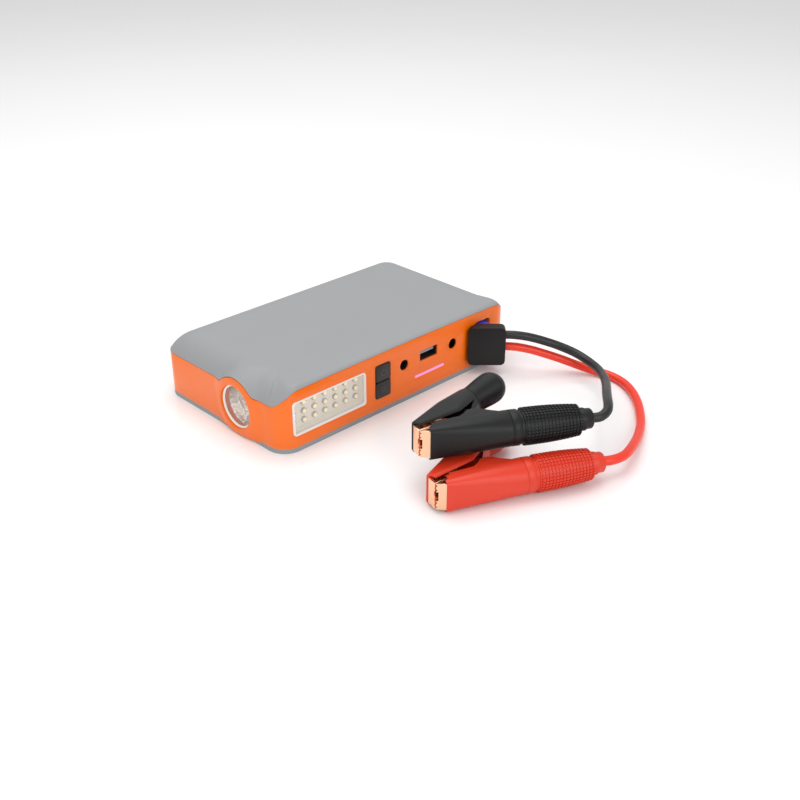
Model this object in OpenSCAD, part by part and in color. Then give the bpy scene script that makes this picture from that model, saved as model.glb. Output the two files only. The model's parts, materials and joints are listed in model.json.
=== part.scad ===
// Jump starter pack with its plug-in lead set: two cables and two spring clamps.
// Origin at the middle of the pack's underside, +Z up, ports on the -Y side,
// torch on the -X end, everything in millimetres.

/* [Pack] */
// Length of the pack
body_l = 170; // [160:1:210]
// Width of the pack
body_w = 102; // [96:1:130]
// Height of the pack
body_h = 36.5; // [34:0.5:44]
// Radius of the four corners seen from above
corner_r = 11; // [8:0.5:14]
// Wall of the band and the covers
wall = 2.2; // [1.6:0.1:2.6]
// Wall on the port side
port_wall = 3; // [2.4:0.1:3.6]
// Thickness of the bottom cover
floor_t = 2.6; // [2:0.1:3.4]
// How far the top cover rolls down at the plain sides
roll_drop = 10.5; // [8:0.5:12]
// Radius of that roll
roll_r = 16; // [13:0.5:20]
// Height of the cover's edge over the port side
rim_h = 1.5; // [1.2:0.1:2]
// Sag of the port side's seam from its middle to its ends
seam_sag = 1; // [0:0.1:1.5]

/* [Torch] */
// Place of the torch across the width
torch_y = -16; // [-20:0.5:16]
// Height of the torch's axis
torch_z = 16.2; // [16:0.1:17]
// Radius of the bulge around the torch
bulge_r = 16; // [15.5:0.1:16.2]
// Radius of the torch's bore
torch_bore_r = 12; // [11:0.1:12.5]
// Depth of the torch's tube
torch_depth = 20; // [16:0.5:24]

/* [Work light] */
// Length of the light's window
lens_l = 49; // [40:0.5:52]
// Height of the light's window
lens_h = 19.4; // [16:0.2:21]
// Place of the window's middle along the pack
lens_x = -52.8; // [-54:0.2:-48]
// Height of the window's middle
lens_z = 18.7; // [17:0.1:20]
// Columns of LEDs
led_cols = 7; // [5:1:8]
// Rows of LEDs
led_rows = 3; // [2:1:4]

/* [Ports] */
// Place of the two keys along the pack
key_x = -16.1; // [-18:0.1:-14]
// Width of a key
key_w = 10.6; // [8:0.2:12]
// Height of both keys together
key_h = 19.4; // [16:0.2:21]
// Travel of a key
key_travel = 0.8; // [0.4:0.1:1]
// Place of the round output jack
out_jack_x = -0.3; // [-2:0.1:1]
// Place of the round charging jack
in_jack_x = 37.5; // [36:0.1:40]
// Radius of a round jack's opening
jack_r = 3.1; // [2.8:0.1:3.4]
// Place of the USB port
usb_x = 18.5; // [16:0.1:21]
// Place of the indicator strip
strip_x = 19.3; // [18:0.1:21]
// Length of the indicator strip
strip_l = 23; // [16:0.5:26]
// Place of the output socket
socket_x = 62; // [60:0.1:64]
// Height of the output socket's middle
socket_z = 17.4; // [17:0.1:18.5]

/* [Lead set] */
// Radius of a cable
cable_r = 2.4; // [2:0.1:2.6]
// Width of the plug's front
plug_w = 21.2; // [18:0.2:22]
// Height of the plug
plug_h = 23; // [20:0.5:24]
// Thickness of the plug's box
plug_t = 6.5; // [6:0.1:8]
// Length of a clamp's cable arm
clamp_l = 86; // [84:1:96]
// Radius of a clamp's cable arm
arm_r = 8.8; // [8.6:0.1:9]
// Radius of a pivot pin
pin_r = 2; // [1.6:0.1:2.4]
// Radius of a clamp's bulb handle
bulb_r = 8.1; // [7.8:0.1:8.6]
// Angle between a clamp's two arms
lever_angle = 35.5; // [34:0.5:37]

/* [Hidden] */
$fn = 64;

// Colours
grey = [0.66, 0.67, 0.68];
orange = [1.0, 0.45, 0.08];
black = [0.13, 0.13, 0.13];
clear_white = [0.93, 0.92, 0.88];
board_green = [0.1, 0.35, 0.2];
blue = [0.16, 0.2, 0.65];
copper = [0.9, 0.66, 0.5];
gold = [0.85, 0.68, 0.3];
steel = [0.75, 0.76, 0.78];
red = [0.92, 0.28, 0.16];

// Clearances
slide_gap = 0.25;
fit_gap = 0.05;
seat_gap = 0.1;
eps = 0.01;

// Seam and walls of the pack
half_l = body_l / 2;
half_w = body_w / 2;
seam_low = body_h - roll_drop;
seam_port = body_h - rim_h;
roll_run = sqrt(pow(roll_r, 2) - pow(roll_r - roll_drop, 2));
in_top = body_h - wall;
port_in_y = -half_w + port_wall;
end_in_x = -half_l + wall;
seam_from = 12;
seam_turn = 80;
port_zone_y = 9.6;

// The torch
bulge_blend = 1.6;
swell = 2;
bulge_reach = 22;
boss_r = torch_bore_r + 2;
hump_in_r = boss_r + 0.4;
lens_t = 2.4;
torch_lens_x = -half_l + 0.2;
torch_board_t = 1.6;
torch_board_x = -half_l + torch_depth - 3;

// The work light
window_t = 2;
light_board_y = port_in_y + 2.2;
led_pitch_x = (lens_l - 7) / (led_cols - 1);
led_pitch_z = (lens_h - 9.4) / (led_rows - 1);

// The main board and what sits on it
board_t = 1.6;
board_top = 19.9;
board_x0 = -24;
board_x1 = 51;
board_y0 = port_in_y + 0.5;
board_y1 = port_in_y + 30;
jack_z = 22.2;
jack_body = [9, 13, 9];
usb_w = 13.2;
usb_h = 5.7;
usb_z = board_top + 0.35 + usb_h / 2;
strip_z = 11.9;
strip_h = 1.6;

// The keys
key_gap = 0.5;
key_z = 18.7;
one_key_h = (key_h - key_gap) / 2;
key_proud = 0.6;
key_deep = 4.5;
switch_y = port_in_y + 6.5;

// The output socket and its plug
pin_pitch = 10;
contact_r = 2.5;
contact_wall = 0.5;
socket_w = 9.8;
socket_h = 20;
socket_y0 = port_in_y + 0.3;
socket_l = 13.5;
hole_gap = 1.4;
plug_yaw = -44.4;
plug_face = [55.5, -60.8, 17.3];
plug_back_y = -half_w - 1.4;
cover_t = 1.4;
exit_depth = (cover_t + plug_t) / 2;
black_exit = 5.9;
red_exit = -1.3;
plug_corner_r = 2.8;

// Battery
cell_l = 110;
cell_w = 54;
cell_t = 8.3;
cell_x = 5;
cell_y = 17;
cell_z = 4.7;
cell_step = cell_t + 0.2;
tray_t = 1.5;

// Screws
post_r = 3.5;
screw_r = 1.45;
post_places = [[-74, 38], [74, 38], [76, -38], [-52, -36]];
board_screw_places = [[-20, -22], [47, -22]];

// Clamps: places of the cable jaw's tip, turns about Z and heights of the mid-plane
black_at = [-56.9, -119.1, 27.5];
black_turn = -28;
red_at = [-63, -135.4, 9.2];
red_turn = -23.9;
pivot = [28, 4.2];
lever_start = [-1.5, 4];
lever_l = 70;
lever_pivot = [
  (pivot[0] - lever_start[0]) * cos(lever_angle) + (pivot[1] - lever_start[1]) * sin(lever_angle),
  (pivot[1] - lever_start[1]) * cos(lever_angle) - (pivot[0] - lever_start[0]) * sin(lever_angle)];
ring_s = 42;
shell_end = 43;
arm_flare = 3;
collar_l = 6.5;
collar_r = 5.4;
sheet = 1;
ear_out_z = 8.4;
ear_in_z = 7.4;
hump = [[7, 0], [7, 2.4], [14, 2.9], [20, 3.6], [22.8, 5.6], [25, 8], [28, 8.9], [31.2, 8.3],
  [35, 5.4], [39, 3.2], [42, 2], [42, -2]];
cable_block = [[3.4, -4.5], [-1, -2.05], [9, 1.15], [9, -4.5]];
cable_hollow = [[4.1, -3.5], [1.2, -1.9], [8, 0.2], [12, 0.2], [12, -3.5]];
lever_block = [[-1.45, -1.4], [-2.3, 4], [3, 7.9], [9, 6.4], [9, 1.95]];
lever_hollow = [[-0.4, -0.1], [-1, 3.5], [3.3, 6.7], [12, 6], [12, 3.9]];
nose = [-1.2, -1.72];
nose_angle = 17.75;
tooth_pitch = 2.3;

// Routes of the two cables, from inside the plug to inside the clamp's collar
black_route = [[62.5, -62.2, 23.2], [65.8, -65.4, 23.2], [70, -69.5, 22.9],
  [75.5, -74.5, 21.6], [82, -80.5, 19], [88, -87.5, 16], [91.5, -96, 13.5],
  [91, -105.5, 12], [86.5, -115, 12.5], [80, -122.5, 14.3], [72, -130, 17],
  [63, -137.2, 19.8], [54.5, -143.3, 22.6], [46, -149.4, 25.2], [38.5, -155, 27.2],
  [32, -160, 28.6], [26.5, -163.3, 28.6], [21.3, -163.5, 27.7], [17, -160.9, 27.5],
  [9.3, -156.3, 27.5]];
red_route = [[62.5, -62.2, 16], [65.8, -65.4, 16], [70.5, -70, 15.5],
  [76.5, -75.5, 13.7], [83, -81.5, 10.8], [89.5, -88.5, 7.6], [95, -96.5, 4.6],
  [99, -105.5, 2.9], [101, -115, 2.5], [99, -125, 2.5], [93.5, -134.5, 2.5],
  [86, -143, 2.5], [77.5, -150.5, 2.5], [68, -157.5, 2.8], [58.5, -163, 3.8],
  [49, -167.7, 5.3], [40.5, -171.3, 6.8], [33, -174, 8], [26, -175.6, 8.8],
  [19.5, -174.8, 9.2], [13.7, -171.8, 9.2], [5.7, -167.7, 9.2]];

// ---------------------------------------------------------------- helpers

function smooth(t) = let (c = min(1, max(0, t))) c * c * (3 - 2 * c);

// Angle around a port-side corner at x, 0 at the pack's end and 90 where the side is flat
function corner_angle(x) =
  let (past = (abs(x) - half_l + corner_r) / corner_r)
    past > 0 ? acos(min(1, past)) : 90 - past * 180 / PI;

// Height of the port side's seam at x, which rises around the corner
function port_seam(x) =
  seam_low + (seam_port - seam_sag * pow(x / half_l, 2) - seam_low)
    * smooth((corner_angle(x) - seam_from) / seam_turn);

// Smooth maximum of two heights, blended over k
function smooth_max(a, b, k) = (a + b + sqrt(pow(a - b, 2) + k * k)) / 2;

// Half height of the torch's bulge at y, blended into a straight edge at height h
function bulge_edge(y, h) =
  smooth_max(h, sqrt(max(0, pow(bulge_r, 2) - pow(y - torch_y, 2))), bulge_blend);

module round_rect(l, w, r) {
  square([l - 2 * r, w], center = true);
  square([l, w - 2 * r], center = true);
  for (sx = [-1, 1], sy = [-1, 1])
    translate([sx * (l / 2 - r), sy * (w / 2 - r)]) circle(r);
}

// Outline of a body of height h whose top rolls down by drop at its +X edge
module roll_side(half, h, drop, r) {
  run = sqrt(pow(r, 2) - pow(r - drop, 2));
  square([half, h - drop]);
  square([half - run, h]);
  intersection() {
    square([half, h]);
    translate([half - run, h - r]) circle(r, $fn = 96);
  }
}

module across_y(w) {
  rotate([90, 0, 0]) linear_extrude(w, center = true) children();
}

module across_x(l) {
  rotate([90, 0, 90]) linear_extrude(l, center = true) children();
}

// The pack's rolled form: l, w and h outside, y0 is its port side
module rolled_form(l, y0, y1, h, drop, r, cr) {
  intersection() {
    translate([0, (y0 + y1) / 2, 0]) linear_extrude(h) round_rect(l, y1 - y0, cr);
    across_y(body_w + 2) {
      roll_side(l / 2, h, drop, r);
      mirror([1, 0]) roll_side(l / 2, h, drop, r);
    }
    across_x(body_l + 2) {
      roll_side(y1, h, drop, r);
      mirror([1, 0]) square([-y0, h]);
    }
  }
}

module torch_rod(r, x0, x1) {
  translate([x0, torch_y, torch_z]) rotate([0, 90, 0]) cylinder(r = r, h = x1 - x0);
}

// The bulge around the torch, with soft feet, from x0 to x1
module bulge(x0, x1, grow = 0) {
  y_list = [for (i = [-bulge_reach:1:bulge_reach]) torch_y + i];
  low = torch_z - floor_t;
  high = seam_low - torch_z;
  translate([(x0 + x1) / 2, 0, 0]) across_x(x1 - x0) polygon(concat(
    [for (y = y_list) [y, torch_z + bulge_edge(y, high) + grow]],
    [for (i = [len(y_list) - 1:-1:0])
      [y_list[i], max(0.2, torch_z - bulge_edge(y_list[i], low)) - grow]]));
}

// Everything that lies below the seam between band and top cover
module below_seam() {
  translate([-body_l, -body_w, -1]) cube([2 * body_l, 2 * body_w, seam_low + 1]);
  turns = [for (a = [0:6:96]) half_l - corner_r * (1 - cos(min(a, 90))) - max(0, a - 90) / 4];
  flats = [for (i = [1:1:11]) half_l - corner_r - 1.5 - i * (half_l - corner_r - 1.5) / 11];
  x_list = concat(turns, flats);
  difference() {
    translate([0, -half_w + port_zone_y / 2 - 1, 0]) across_y(port_zone_y + 2) polygon(concat(
      [for (x = x_list) [x, port_seam(x)]],
      [for (i = [len(x_list) - 2:-1:0]) [-x_list[i], port_seam(x_list[i])]],
      [[-half_l, 0], [half_l, 0]]));
    translate([0, (port_in_y + half_w - wall) / 2, -2]) linear_extrude(body_h + 4)
      round_rect(body_l - 2 * wall, half_w - wall - port_in_y, corner_r - wall);
  }
  bulge(-half_l - 1, end_in_x);
}

module port_hole(x, z, w, h, r) {
  translate([x, -half_w + port_wall / 2, z]) rotate([90, 0, 0])
    linear_extrude(port_wall + 2, center = true) round_rect(w, h, r);
}

module port_rod(x, z, r, y0, y1) {
  translate([x, y1, z]) rotate([90, 0, 0]) cylinder(r = r, h = y1 - y0);
}

// ---------------------------------------------------------------- covers and band

module top_cover() color(grey) {
  difference() {
    union() {
      rolled_form(body_l, -half_w, half_w, body_h, roll_drop, roll_r, corner_r);
      torch_rod(bulge_r, end_in_x, -half_l + roll_run);
    }
    rolled_form(body_l - 2 * wall, port_in_y, half_w - wall, in_top,
      roll_drop, roll_r - wall, corner_r - wall);
    torch_rod(hump_in_r, -half_l, -half_l + roll_run + 3);
    below_seam();
  }
  difference() {
    intersection() {
      for (p = post_places) translate([p[0], p[1], floor_t + 0.4])
        cylinder(r = post_r, h = body_h);
      rolled_form(body_l - wall, port_in_y, half_w - wall / 2, in_top + wall / 2,
        roll_drop, roll_r - wall / 2, corner_r - wall);
    }
    for (p = post_places) translate([p[0], p[1], floor_t])
      cylinder(r = screw_r + fit_gap, h = 14);
  }
}

module side_frame() color(orange) {
  difference() {
    union() {
      intersection() {
        below_seam();
        difference() {
          translate([0, 0, floor_t]) linear_extrude(body_h) round_rect(body_l, body_w, corner_r);
          translate([0, (port_in_y + half_w - wall) / 2, -1]) linear_extrude(body_h + 2)
            round_rect(body_l - 2 * wall, half_w - wall - port_in_y, corner_r - wall);
        }
      }
      intersection() {
        bulge(-half_l, end_in_x);
        linear_extrude(body_h) round_rect(body_l, body_w, corner_r);
      }
      torch_rod(boss_r, -half_l + 1, -half_l + torch_depth);
      translate([-half_l - swell, torch_y, torch_z]) rotate([0, 90, 0])
        cylinder(r1 = boss_r, r2 = bulge_r - 0.2, h = swell + 0.5);
    }
    torch_rod(torch_bore_r, -half_l - swell - 1, torch_board_x + torch_board_t);
    torch_rod(torch_bore_r - 2, -half_l, -half_l + torch_depth + 1);
    port_hole(lens_x, lens_z, lens_l, lens_h, 2);
    port_hole(key_x, key_z, key_w + 2 * slide_gap, key_h + 2 * slide_gap, 1.6);
    port_rod(out_jack_x, jack_z, jack_r, -half_w - 1, port_in_y + 1);
    port_rod(in_jack_x, jack_z, jack_r, -half_w - 1, port_in_y + 1);
    port_hole(usb_x, usb_z, usb_w + 0.4, usb_h + 0.4, 0.5);
    port_hole(strip_x, strip_z, strip_l, strip_h, strip_h / 2 - eps);
    port_hole(socket_x, socket_z, socket_w + 2 * hole_gap, socket_h + 2 * hole_gap, 2);
  }
}

module bottom_cover() color(grey) {
  difference() {
    union() {
      linear_extrude(floor_t) round_rect(body_l, body_w, corner_r);
      difference() {
        in_l = body_l - 2 * wall - 0.6;
        in_w = half_w - wall - port_in_y - 0.6;
        mid_y = (port_in_y + half_w - wall) / 2;
        translate([0, mid_y, 0]) linear_extrude(floor_t + 1.8)
          round_rect(in_l, in_w, corner_r - wall);
        translate([0, mid_y, floor_t]) linear_extrude(9)
          round_rect(in_l - 3, in_w - 3, corner_r - wall - 1.5);
      }
      for (p = board_screw_places)
        translate([p[0], p[1], floor_t - eps])
          cylinder(r = 3, h = board_top - board_t - floor_t + eps);
    }
    bulge(-half_l - 1, end_in_x + seat_gap, 0.02);
    torch_rod(hump_in_r, -half_l - 1, -half_l + torch_depth + 2);
    for (p = post_places) translate([p[0], p[1], 0]) {
      translate([0, 0, -1]) cylinder(r = screw_r + 0.2, h = floor_t + 2);
      translate([0, 0, -1]) cylinder(r = 3.2, h = 2.3);
    }
    for (p = board_screw_places)
      translate([p[0], p[1], board_top - board_t - 8]) cylinder(r = 1, h = 9);
  }
}

// ---------------------------------------------------------------- torch

module torch_lens() color(clear_white) {
  torch_rod(torch_bore_r - seat_gap, torch_lens_x, torch_lens_x + lens_t);
}

module torch_reflector() color(steel) {
  x0 = torch_lens_x + lens_t + seat_gap;
  deep = torch_board_x - x0 - seat_gap;
  out_r = torch_bore_r - seat_gap;
  translate([x0, torch_y, torch_z]) rotate([0, 90, 0]) rotate_extrude()
    polygon([[out_r - 0.9, 0], [out_r, 0], [out_r, 1.2], [out_r - 1.4, 3],
      [4.4, deep], [3.1, deep], [3.1, deep - 0.8], [out_r - 3.4, 3], [out_r - 1.6, 1.2]]);
}

module torch_led() color([1, 0.95, 0.7]) {
  torch_rod(2.6, torch_board_x - 2.2, torch_board_x);
  translate([torch_board_x - 2.2, torch_y, torch_z]) sphere(1.7);
}

module torch_board() color(board_green) {
  torch_rod(torch_bore_r - seat_gap, torch_board_x, torch_board_x + torch_board_t);
}

// ---------------------------------------------------------------- work light

module work_light_lens() color(clear_white) {
  y_mid = -half_w + window_t / 2 - 0.3;
  translate([lens_x, y_mid, lens_z]) rotate([90, 0, 0]) {
    linear_extrude(window_t, center = true)
      round_rect(lens_l - 2 * seat_gap, lens_h - 2 * seat_gap, 2 - seat_gap);
    translate([0, 0, -window_t / 2 - 0.9]) linear_extrude(1.4, center = true)
      round_rect(lens_l - 2 * seat_gap, lens_h - 2 * seat_gap, 2 - seat_gap);
  }
}

module light_place(i, j) {
  translate([lens_x + (i - (led_cols - 1) / 2) * led_pitch_x, light_board_y,
    lens_z + (j - (led_rows - 1) / 2) * led_pitch_z]) children();
}

module work_light_leds() color([1, 0.95, 0.75]) {
  for (i = [0:led_cols - 1], j = [0:led_rows - 1]) light_place(i, j) {
    translate([-1.75, -1.2, -1.4]) cube([3.5, 1.2, 2.8]);
    rotate([90, 0, 0]) translate([0, 0, 1.1]) cylinder(r = 1.1, h = 0.5);
  }
}

module work_light_board() color(clear_white) {
  translate([lens_x - lens_l / 2 + 0.5, light_board_y, lens_z - lens_h / 2 - 1])
    cube([lens_l - 1, board_t, lens_h + 2]);
}

// ---------------------------------------------------------------- keys

module key(z0) {
  translate([key_x, 0, z0 + one_key_h / 2]) {
    translate([0, -half_w - key_proud, 0]) rotate([-90, 0, 0])
      linear_extrude(key_deep) round_rect(key_w, one_key_h, 1.3);
    port_rod(0, 0, 1.5, -half_w - key_proud + key_deep - eps, switch_y - 1.6 - key_travel - 0.15);
  }
}

module power_button() color(black) key(key_z + key_gap / 2);

module light_button() color(black) key(key_z - key_h / 2);

module button_switches() color(steel) {
  for (s = [-1, 1]) {
    z = key_z + s * (one_key_h + key_gap) / 2;
    translate([key_x - 2.6, switch_y - 1, z - 2.6]) cube([5.2, 2.2, 5.2]);
    port_rod(key_x, z, 1.3, switch_y - 1.6, switch_y - 1 + eps);
  }
}

module button_board() color(board_green) {
  translate([key_x - 6.8, switch_y + 1.2, key_z - 12]) cube([13.6, board_t, 24]);
}

// ---------------------------------------------------------------- boards and ports

module main_board() color(board_green) {
  difference() {
    translate([board_x0, board_y0, board_top - board_t])
      cube([board_x1 - board_x0, board_y1 - board_y0, board_t]);
    for (x = [out_jack_x, in_jack_x])
      translate([x - jack_body[0] / 2 - seat_gap, board_y0 - 1, 0])
        cube([jack_body[0] + 2 * seat_gap, jack_body[1] + 1.1 - 0.4, body_h]);
    translate([key_x - 7.2, board_y0 - 1, 0]) cube([14.4, 11, body_h]);
    for (p = board_screw_places) translate([p[0], p[1], 0]) cylinder(r = 1.25, h = body_h);
  }
  translate([4, board_y0 + 19, board_top - eps]) cube([12, 9, 2.4]);
  translate([22, board_y0 + 17, board_top - eps]) cube([8, 8, 4.5]);
  for (x = [-8, -2]) translate([x, board_y0 + 24, board_top - eps]) cylinder(r = 2.6, h = 7);
}

module usb_port() color(steel) {
  y0 = -half_w + 0.6;
  translate([usb_x, y0, usb_z]) rotate([-90, 0, 0]) difference() {
    linear_extrude(14) round_rect(usb_w, usb_h, 0.6);
    translate([0, 0, -1]) linear_extrude(14) round_rect(usb_w - 0.7, usb_h - 0.7, 0.4);
  }
}

module usb_tongue() color([0.55, 0.56, 0.58]) {
  y0 = -half_w + 2;
  translate([usb_x - 5.5, y0, usb_z + 0.1]) cube([11, 11.6, 1.8]);
}

module dc_jack(x) {
  difference() {
    union() {
      translate([x - jack_body[0] / 2, port_in_y + 0.1, jack_z - jack_body[2] / 2])
        cube(jack_body);
      port_rod(x, jack_z, jack_r - seat_gap, -half_w + 0.5, port_in_y + 1);
    }
    port_rod(x, jack_z, jack_r - 0.5, -half_w - 1, port_in_y + 10);
  }
}

module dc_out_jack() color(black) dc_jack(out_jack_x);

module dc_in_jack() color(black) dc_jack(in_jack_x);

module jack_pins() color(steel) {
  for (x = [out_jack_x, in_jack_x]) port_rod(x, jack_z, 1, port_in_y + 1.5, port_in_y + 10);
}

module indicator_light() color([0.95, 0.6, 0.85]) {
  port_hole_l = strip_l - 2 * seat_gap;
  port_hole_h = strip_h - 2 * seat_gap;
  translate([strip_x, (-half_w + port_in_y) / 2 + 0.65, strip_z]) rotate([90, 0, 0])
    linear_extrude(port_wall + 1.5, center = true)
      round_rect(port_hole_l, port_hole_h, port_hole_h / 2 - eps);
}

module indicator_leds() color([1, 0.8, 0.9]) {
  for (i = [-2:2]) translate([strip_x + i * 4.6 - 0.8, port_in_y + 1.5, strip_z - 0.6])
    cube([1.6, 1, 1.2]);
  translate([strip_x - 11.5, port_in_y + 2.5 - eps, strip_z - 3]) cube([23, 1, 6]);
}

// ---------------------------------------------------------------- output socket and battery

module socket_bores(r, y0, y1) {
  for (s = [-1, 1]) port_rod(socket_x, socket_z + s * pin_pitch / 2, r, y0, y1);
}

module output_socket() color(blue) {
  difference() {
    translate([socket_x - socket_w / 2 - 1.8, socket_y0, socket_z - socket_h / 2 - 1.8])
      cube([socket_w + 3.6, socket_l, socket_h + 3.6]);
    socket_bores(contact_r + contact_wall + 2 * fit_gap, socket_y0 - 1, socket_y0 + socket_l + 1);
  }
}

module output_socket_contacts() color(gold) {
  difference() {
    socket_bores(contact_r + contact_wall + fit_gap, socket_y0 + 0.4, socket_y0 + socket_l + 2);
    socket_bores(contact_r + fit_gap, socket_y0 - 1, socket_y0 + socket_l - 0.5);
  }
}

module battery_leads() color(red) {
  socket_bores(1.7, socket_y0 + socket_l + 2, cell_y - cell_w / 2 + 2);
}

module cell_busbars() color(copper) {
  for (s = [-1, 1])
    translate([socket_x - 1.9, cell_y - cell_w / 2 + 2, socket_z + s * pin_pitch / 2 - 2.4])
      cube([3.8, 9, 4.8]);
  for (i = [0:1])
    translate([cell_x + cell_l / 2 + 0.1, cell_y + 6, cell_z + (i + 0.4) * cell_step])
      cube([0.8, 12, cell_step]);
}

module battery_cells() color([0.72, 0.74, 0.78]) {
  for (i = [0:2]) translate([cell_x - cell_l / 2, cell_y - cell_w / 2, cell_z + i * cell_step])
    cube([cell_l, cell_w, cell_t]);
}

module battery_tray() color(black) {
  x0 = cell_x - cell_l / 2 - tray_t - 0.3;
  y0 = cell_y - cell_w / 2 - tray_t - 0.3;
  difference() {
    translate([x0, y0, floor_t]) cube([cell_l + 2 * tray_t + 0.6 + 5, cell_w + 2 * tray_t + 0.6, 6]);
    translate([x0 + tray_t, y0 + tray_t, cell_z - 0.1]) cube([cell_l + 0.6 + 5, cell_w + 0.6, 8]);
  }
}

// ---------------------------------------------------------------- screws

module board_screws() color(steel) {
  for (p = board_screw_places) translate([p[0], p[1], board_top]) {
    cylinder(r = 2, h = 1.2);
    translate([0, 0, -7]) cylinder(r = 1 - fit_gap, h = 7);
  }
}

module case_screws() color(steel) {
  for (p = post_places) translate([p[0], p[1], 0]) {
    difference() {
      translate([0, 0, 0.1]) cylinder(r = 2.8, h = 1.2);
      translate([0, 0, -1]) cylinder(r = 1.3, h = 1.8, $fn = 6);
    }
    translate([0, 0, 1.2]) cylinder(r = screw_r, h = 12);
  }
}

// ---------------------------------------------------------------- plug

module at_plug() {
  translate(plug_face) rotate([0, 0, plug_yaw]) children();
}

// A slab of the plug's front outline, from depth y0 to depth y1 behind the front
module plug_slab(y0, y1, inset = 0) {
  at_plug() translate([0, y1, 0]) rotate([90, 0, 0]) linear_extrude(y1 - y0)
    round_rect(plug_w - 2 * inset, plug_h - 2 * inset, plug_corner_r - inset);
}

module outside_pack() {
  translate([0, plug_back_y - 50, 0]) cube([300, 100, 200], center = true);
}

module cable_exit_bores(r) {
  for (z = [black_exit, red_exit])
    at_plug() translate([plug_w / 2 - 6, exit_depth, z]) rotate([0, 90, 0])
      cylinder(r = r, h = 7);
}

module plug_housing() color(black) {
  difference() {
    intersection() {
      plug_slab(cover_t, plug_t);
      outside_pack();
    }
    intersection() {
      plug_slab(cover_t - 1, plug_t - 1.5, 5.2);
      translate([0, -2, 0]) outside_pack();
    }
    cable_exit_bores(cable_r + fit_gap);
    socket_bores(contact_r + fit_gap, plug_back_y - 8, plug_back_y + 1);
  }
}

module plug_cover() color(black) {
  intersection() {
    plug_slab(0, cover_t);
    outside_pack();
  }
}

module plug_connector() color(blue) {
  nose_y = port_in_y + 0.1;
  difference() {
    translate([socket_x, nose_y, socket_z]) rotate([90, 0, 0]) linear_extrude(20)
      polygon([[-4.8, -8.6], [-3.4, -9.8], [3.4, -9.8], [4.8, -8.6],
        [4.8, 7.6], [1.8, 10.2], [-3, 10.2], [-4.8, 8.4]]);
    at_plug() translate([-50, plug_t - 100, -50]) cube([100, 100, 100]);
    socket_bores(contact_r + fit_gap, -half_w - 20, nose_y + 1);
  }
}

module plug_contacts() color(gold) {
  tip_y = socket_y0 + socket_l - 1.5;
  for (s = [-1, 1]) {
    z = socket_z + s * pin_pitch / 2;
    port_rod(socket_x, z, contact_r, plug_back_y - 7.6, tip_y - 1);
    port_rod(socket_x, z, contact_r - 0.8, tip_y - 1 - eps, tip_y);
  }
}

// ---------------------------------------------------------------- cables

function unit(v) = v / norm(v);

// Direction of a route at point i
function heading(p, i) = unit(p[min(i + 1, len(p) - 1)] - p[max(i - 1, 0)]);

module tube(p, r, sides) {
  rings = [for (i = [0:len(p) - 1])
    let (d = heading(p, i), a = unit(cross([0, 0, 1], d)), b = cross(d, a))
      [for (k = [0:sides - 1]) p[i] + r * (cos(360 * k / sides) * a + sin(360 * k / sides) * b)]];
  points = [for (ring = rings) each ring];
  last = (len(p) - 1) * sides;
  faces = concat(
    [[for (k = [0:sides - 1]) k]],
    [for (i = [0:len(p) - 2], k = [0:sides - 1]) let (n = (k + 1) % sides)
      [i * sides + n, i * sides + k, (i + 1) * sides + k]],
    [for (i = [0:len(p) - 2], k = [0:sides - 1]) let (n = (k + 1) % sides)
      [i * sides + n, (i + 1) * sides + k, (i + 1) * sides + n]],
    [[for (k = [sides - 1:-1:0]) last + k]]);
  polyhedron(points, faces);
}

module black_cable() color(black) tube(black_route, cable_r, 10);

module red_cable() color(red) tube(red_route, cable_r, 10);

// ---------------------------------------------------------------- clamps
// A clamp lies in its own frame: x runs from the jaws to the tail along the cable arm,
// y goes towards the lever and z = 0 is the middle plane.

module at_black() {
  translate(black_at) rotate([0, 0, black_turn]) children();
}

module at_red() {
  translate(red_at) rotate([0, 0, red_turn]) children();
}

module at_lever() {
  translate([lever_start[0], lever_start[1], 0]) rotate([0, 0, lever_angle]) children();
}

module both_sides() {
  children();
  mirror([0, 0, 1]) children();
}

module along(x, h) {
  translate([x, 0, 0]) rotate([90, 0, 90]) linear_extrude(h) children();
}

// Teeth across the nose where the two jaws meet, with a longer bite in the middle
module tooth_cuts() {
  translate([nose[0], nose[1], 0]) rotate([0, 0, nose_angle]) {
    for (i = [-2.5:1:2.5]) translate([0, 0, i * tooth_pitch]) rotate([45, 0, 0])
      cube([12, 1.3, 1.3], center = true);
    cube([12, 2.4, 4.8], center = true);
  }
}

module plate(z, h, outline) {
  translate([0, 0, z]) linear_extrude(h) polygon(outline);
}

module cable_shell() {
  difference() {
    union() {
      hull() {
        along(3.2, 1) translate([-1.5, 0]) round_rect(8.2, 16.8, 2.6, $fn = 32);
        along(shell_end - 1.1, 1) circle(arm_r, $fn = 32);
      }
      both_sides() plate(ear_in_z, ear_out_z - ear_in_z, hump);
    }
    hull() {
      along(2, 1) translate([-0.2, 0]) square([8.6, 14.8], center = true);
      along(shell_end, 1) circle(arm_r - 1.4, $fn = 24);
    }
    translate([-1, 0, -ear_in_z]) cube([shell_end - 6, 30, 2 * ear_in_z]);
    translate([1.6, 0.4, -20]) cylinder(r = 3.6, h = 40);
  }
}

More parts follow.
